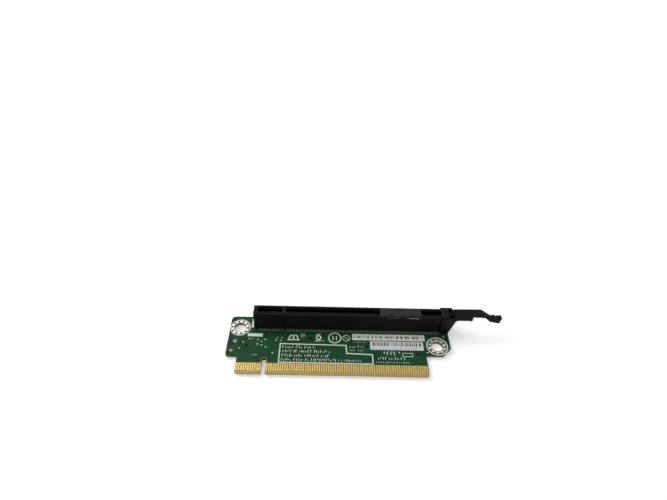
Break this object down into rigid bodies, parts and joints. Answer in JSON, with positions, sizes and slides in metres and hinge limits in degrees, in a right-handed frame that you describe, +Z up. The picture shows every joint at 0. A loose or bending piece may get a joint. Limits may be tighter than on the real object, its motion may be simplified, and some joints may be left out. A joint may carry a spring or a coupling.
{
  "type": "riser card",
  "caption": "Riser card: flat green circuit board with a gold card edge, plated mounting holes and an upright black expansion slot with a hinged retention latch.",
  "frame": {"origin": "the left mounting hole's axis at the board's underside", "axes": "+X along the slot towards the latch, +Y from the card edge to the back, +Z up from the board's underside towards the slot's mouth"},
  "size_m": [0.1257, 0.0311, 0.0139],
  "materials": {
    "board_laminate": "glass-fibre board under green solder mask, satin gloss",
    "slot_moulding": "black glass-filled moulding, matt",
    "latch_moulding": "black moulding, satin with a grained arm",
    "contact_metal": "stamped alloy, tinned tails and gilt noses",
    "gold_plating": "hard gold over nickel, polished",
    "tinned_copper": "tinned copper plating",
    "solder": "bright solder, slightly uneven",
    "bare_copper": "bare copper, dull",
    "clear_film": "thin translucent film, glossy and slightly wavy",
    "label_paper": "white coated paper with printed bars"
  },
  "bodies": {
    "card": {"circuit_board": "board_laminate", "slot_housing": "slot_moulding", "front_contacts": "contact_metal", "rear_contacts": "contact_metal", "edge_fingers_front": "gold_plating", "edge_fingers_back": "gold_plating", "left_hole_land": "tinned_copper", "right_hole_land": "tinned_copper", "left_hole_solder": "solder", "right_hole_solder": "solder", "test_pads": "bare_copper", "hold_down_tab": "solder", "pick_up_film": "clear_film", "barcode_label": "label_paper"},
    "latch": {"retention_latch": "latch_moulding"}
  },
  "joints": [
    {"name": "latch_hinge", "type": "hinge", "parent": "card", "child": "latch", "pos_m": [0.09567, 0.0025, 0.00362], "axis": [0, 1, 0], "range_deg": [0, 12]}
  ]
}
